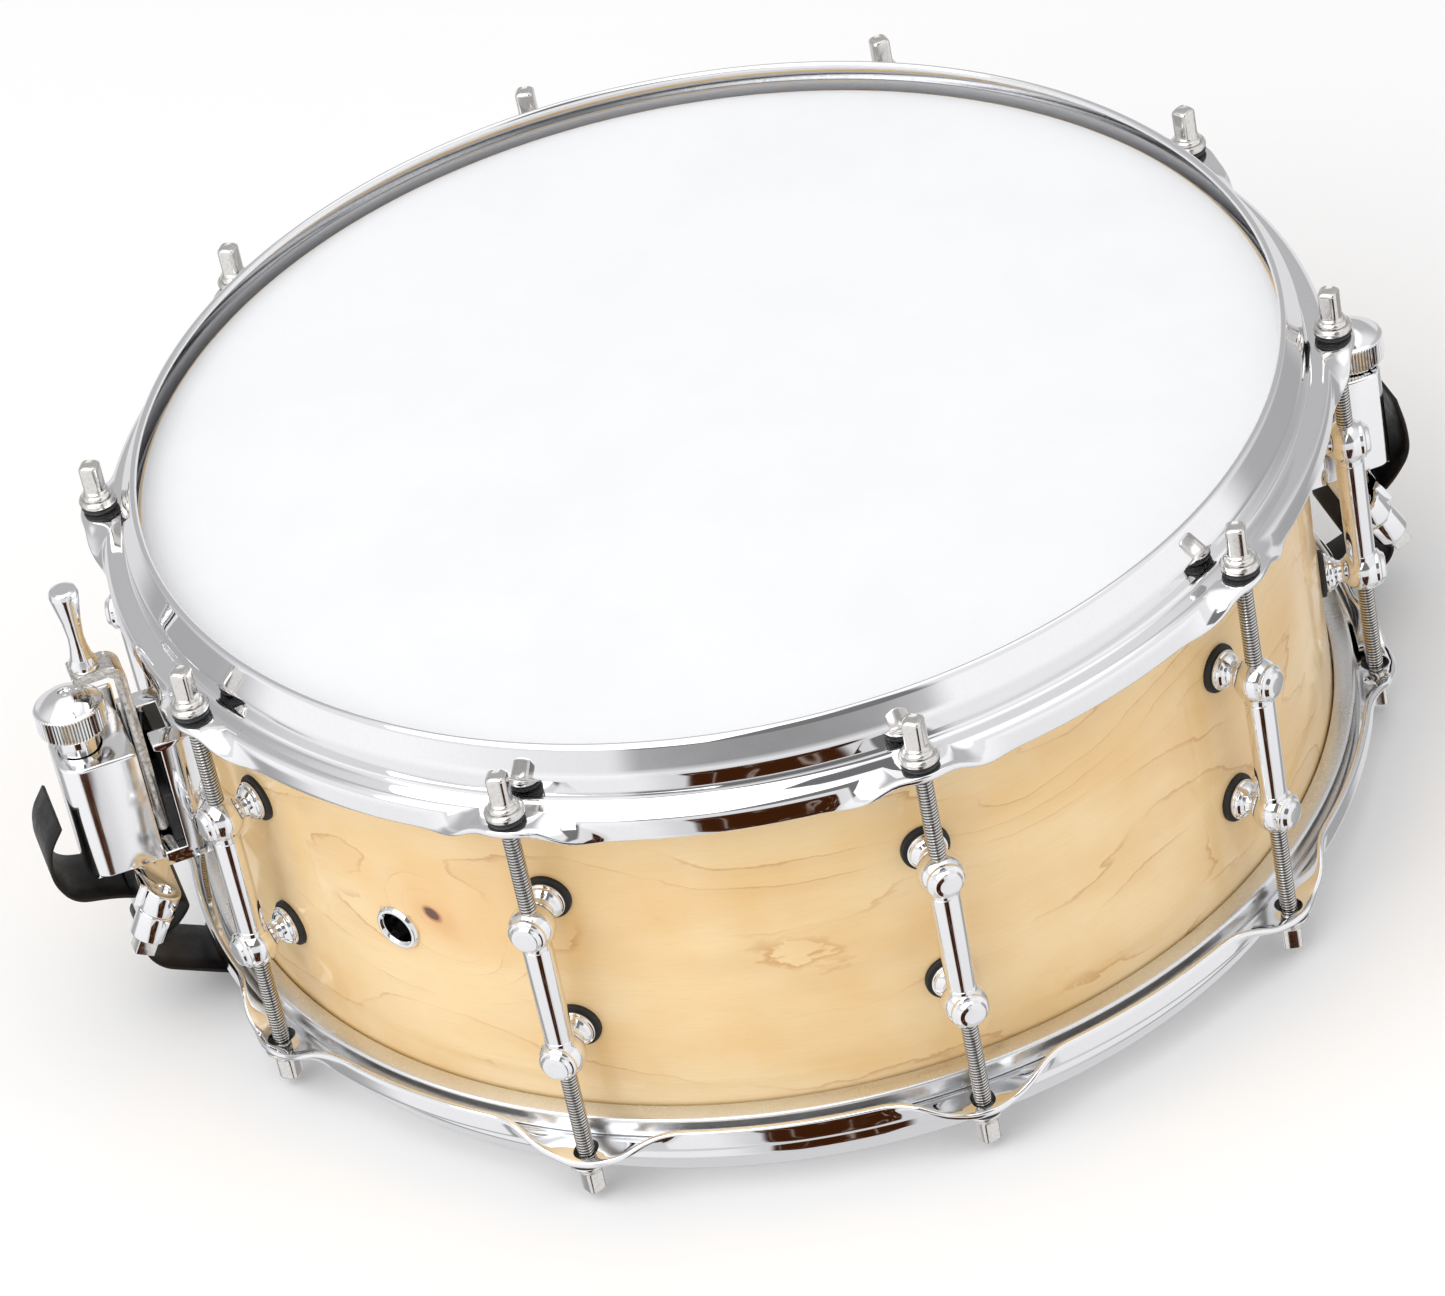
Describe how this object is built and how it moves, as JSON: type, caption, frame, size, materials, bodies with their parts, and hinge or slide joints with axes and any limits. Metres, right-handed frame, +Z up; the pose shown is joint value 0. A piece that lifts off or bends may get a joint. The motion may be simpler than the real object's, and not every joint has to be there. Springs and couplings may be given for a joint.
{
  "type": "snare drum",
  "caption": "Wooden snare drum with pressed steel hoops, double-ended tube lugs, tension rods, lever strainer, butt end and snare wires.",
  "frame": {"origin": "on the drum's axis, in the plane of the snare-side hoop's rim, where the drum seats", "axes": "+Z up along the drum's axis towards the batter head, +X from the strainer towards the butt end"},
  "size_m": [0.4508, 0.3964, 0.1617],
  "materials": {
    "maple": "satin lacquer over maple",
    "chrome": "mirror chrome plate",
    "nickel": "bright nickel plate",
    "black_nylon": "moulded black nylon",
    "black_rubber": "soft black gasket",
    "flesh_ring_aluminium": "rolled aluminium",
    "coated_film": "white coated polyester film",
    "clear_film": "hazy clear polyester film",
    "black_strap": "flexible black plastic strip",
    "snare_steel": "drawn steel wire"
  },
  "bodies": {
    "drum": {"shell": "maple", "vent_grommet": "chrome", "batter_hoop": "chrome", "snare_hoop": "chrome", "lug_posts": "chrome", "lug_tubes": "chrome", "strainer_base": "chrome", "strainer_housing": "chrome", "butt_base": "chrome", "butt_housing": "chrome", "rod_steel_washers": "nickel", "lever_pivot_pin": "nickel", "lug_screws": "nickel", "lug_screw_washers": "nickel", "fitting_screws": "nickel", "lug_gaskets": "black_rubber", "rod_nylon_washers": "black_nylon", "strainer_track": "black_nylon", "batter_head": "coated_film", "snare_head": "clear_film", "batter_head_ring": "flesh_ring_aluminium", "snare_head_ring": "flesh_ring_aluminium"},
    "throw_lever": {"strainer_lever": "nickel", "strainer_lever_grip": "chrome"},
    "strainer_slide": {"strainer_carriage": "nickel"},
    "snares": {"snare_wires": "snare_steel", "snare_end_plates": "snare_steel"},
    "strainer_tension_knob": {"strainer_knob": "chrome", "strainer_adjust_screw": "nickel"},
    "strainer_strap_clamp": {"strainer_clamp": "chrome", "strainer_clamp_bar": "chrome", "strainer_clamp_screws": "nickel", "strainer_strap": "black_strap"},
    "butt_tension_knob": {"butt_knob": "chrome", "butt_adjust_screw": "nickel"},
    "butt_strap_clamp": {"butt_clamp": "chrome", "butt_clamp_bar": "chrome", "butt_clamp_screws": "nickel", "butt_strap": "black_strap"},
    "batter_tension_rod_01": {"batter_rod_01": "nickel"},
    "batter_tension_rod_02": {"batter_rod_02": "nickel"},
    "batter_tension_rod_03": {"batter_rod_03": "nickel"},
    "batter_tension_rod_04": {"batter_rod_04": "nickel"},
    "batter_tension_rod_05": {"batter_rod_05": "nickel"},
    "batter_tension_rod_06": {"batter_rod_06": "nickel"},
    "batter_tension_rod_07": {"batter_rod_07": "nickel"},
    "batter_tension_rod_08": {"batter_rod_08": "nickel"},
    "batter_tension_rod_09": {"batter_rod_09": "nickel"},
    "batter_tension_rod_10": {"batter_rod_10": "nickel"},
    "snare_tension_rod_01": {"snare_rod_01": "nickel"},
    "snare_tension_rod_02": {"snare_rod_02": "nickel"},
    "snare_tension_rod_03": {"snare_rod_03": "nickel"},
    "snare_tension_rod_04": {"snare_rod_04": "nickel"},
    "snare_tension_rod_05": {"snare_rod_05": "nickel"},
    "snare_tension_rod_06": {"snare_rod_06": "nickel"},
    "snare_tension_rod_07": {"snare_rod_07": "nickel"},
    "snare_tension_rod_08": {"snare_rod_08": "nickel"},
    "snare_tension_rod_09": {"snare_rod_09": "nickel"},
    "snare_tension_rod_10": {"snare_rod_10": "nickel"}
  },
  "joints": [
    {"name": "throw_lever_swing", "type": "hinge", "parent": "drum", "child": "throw_lever", "pos_m": [-0.1946, 0, 0.072], "axis": [1, 0, 0], "range_deg": [0, 90]},
    {"name": "strainer_slide_drop", "type": "slide", "parent": "drum", "child": "strainer_slide", "axis": [0, 0, -1], "range_m": [0, 0.0065], "deforming": ["strainer_strap"]},
    {"name": "snares_drop", "type": "hinge", "parent": "drum", "child": "snares", "pos_m": [0.172, 0, 0.0094], "axis": [0, -1, 0], "range_deg": [0, 1]},
    {"name": "strainer_knob_turn", "type": "hinge", "parent": "strainer_slide", "child": "strainer_tension_knob", "pos_m": [-0.212, 0, 0.104], "axis": [0, 0, 1], "range_deg": [-720, 720]},
    {"name": "strainer_clamp_travel", "type": "slide", "parent": "strainer_slide", "child": "strainer_strap_clamp", "axis": [0, 0, 1], "range_m": [-0.002, 0.002], "deforming": ["strainer_strap"]},
    {"name": "butt_knob_turn", "type": "hinge", "parent": "drum", "child": "butt_tension_knob", "pos_m": [0.2065, 0, 0.0915], "axis": [0, 0, 1], "range_deg": [-720, 720]},
    {"name": "butt_clamp_travel", "type": "slide", "parent": "drum", "child": "butt_strap_clamp", "axis": [0, 0, 1], "range_m": [-0.002, 0.002], "deforming": ["butt_strap"]},
    {"name": "batter_rod_01_turn", "type": "hinge", "parent": "drum", "child": "batter_tension_rod_01", "pos_m": [0.18165, 0.05902, 0.1452], "axis": [0, 0, 1], "continuous": true},
    {"name": "batter_rod_02_turn", "type": "hinge", "parent": "drum", "child": "batter_tension_rod_02", "pos_m": [0.11227, 0.15452, 0.1452], "axis": [0, 0, 1], "continuous": true},
    {"name": "batter_rod_03_turn", "type": "hinge", "parent": "drum", "child": "batter_tension_rod_03", "pos_m": [0, 0.191, 0.1452], "axis": [0, 0, 1], "continuous": true},
    {"name": "batter_rod_04_turn", "type": "hinge", "parent": "drum", "child": "batter_tension_rod_04", "pos_m": [-0.11227, 0.15452, 0.1452], "axis": [0, 0, 1], "continuous": true},
    {"name": "batter_rod_05_turn", "type": "hinge", "parent": "drum", "child": "batter_tension_rod_05", "pos_m": [-0.18165, 0.05902, 0.1452], "axis": [0, 0, 1], "continuous": true},
    {"name": "batter_rod_06_turn", "type": "hinge", "parent": "drum", "child": "batter_tension_rod_06", "pos_m": [-0.18165, -0.05902, 0.1452], "axis": [0, 0, 1], "continuous": true},
    {"name": "batter_rod_07_turn", "type": "hinge", "parent": "drum", "child": "batter_tension_rod_07", "pos_m": [-0.11227, -0.15452, 0.1452], "axis": [0, 0, 1], "continuous": true},
    {"name": "batter_rod_08_turn", "type": "hinge", "parent": "drum", "child": "batter_tension_rod_08", "pos_m": [0, -0.191, 0.1452], "axis": [0, 0, 1], "continuous": true},
    {"name": "batter_rod_09_turn", "type": "hinge", "parent": "drum", "child": "batter_tension_rod_09", "pos_m": [0.11227, -0.15452, 0.1452], "axis": [0, 0, 1], "continuous": true},
    {"name": "batter_rod_10_turn", "type": "hinge", "parent": "drum", "child": "batter_tension_rod_10", "pos_m": [0.18165, -0.05902, 0.1452], "axis": [0, 0, 1], "continuous": true},
    {"name": "snare_rod_01_turn", "type": "hinge", "parent": "drum", "child": "snare_tension_rod_01", "pos_m": [0.18165, 0.05902, 0.0165], "axis": [0, 0, 1], "continuous": true},
    {"name": "snare_rod_02_turn", "type": "hinge", "parent": "drum", "child": "snare_tension_rod_02", "pos_m": [0.11227, 0.15452, 0.0165], "axis": [0, 0, 1], "continuous": true},
    {"name": "snare_rod_03_turn", "type": "hinge", "parent": "drum", "child": "snare_tension_rod_03", "pos_m": [0, 0.191, 0.0165], "axis": [0, 0, 1], "continuous": true},
    {"name": "snare_rod_04_turn", "type": "hinge", "parent": "drum", "child": "snare_tension_rod_04", "pos_m": [-0.11227, 0.15452, 0.0165], "axis": [0, 0, 1], "continuous": true},
    {"name": "snare_rod_05_turn", "type": "hinge", "parent": "drum", "child": "snare_tension_rod_05", "pos_m": [-0.18165, 0.05902, 0.0165], "axis": [0, 0, 1], "continuous": true},
    {"name": "snare_rod_06_turn", "type": "hinge", "parent": "drum", "child": "snare_tension_rod_06", "pos_m": [-0.18165, -0.05902, 0.0165], "axis": [0, 0, 1], "continuous": true},
    {"name": "snare_rod_07_turn", "type": "hinge", "parent": "drum", "child": "snare_tension_rod_07", "pos_m": [-0.11227, -0.15452, 0.0165], "axis": [0, 0, 1], "continuous": true},
    {"name": "snare_rod_08_turn", "type": "hinge", "parent": "drum", "child": "snare_tension_rod_08", "pos_m": [0, -0.191, 0.0165], "axis": [0, 0, 1], "continuous": true},
    {"name": "snare_rod_09_turn", "type": "hinge", "parent": "drum", "child": "snare_tension_rod_09", "pos_m": [0.11227, -0.15452, 0.0165], "axis": [0, 0, 1], "continuous": true},
    {"name": "snare_rod_10_turn", "type": "hinge", "parent": "drum", "child": "snare_tension_rod_10", "pos_m": [0.18165, -0.05902, 0.0165], "axis": [0, 0, 1], "continuous": true}
  ],
  "couplings": [
    {"joint": "strainer_slide_drop", "follows": "throw_lever_swing", "m_per_rad": 0.0041339},
    {"joint": "snares_drop", "follows": "throw_lever_swing", "ratio": 0.0111},
    {"joint": "strainer_knob_turn", "follows": "strainer_clamp_travel", "rad_per_m": -6280},
    {"joint": "butt_knob_turn", "follows": "butt_clamp_travel", "rad_per_m": -6280}
  ]
}
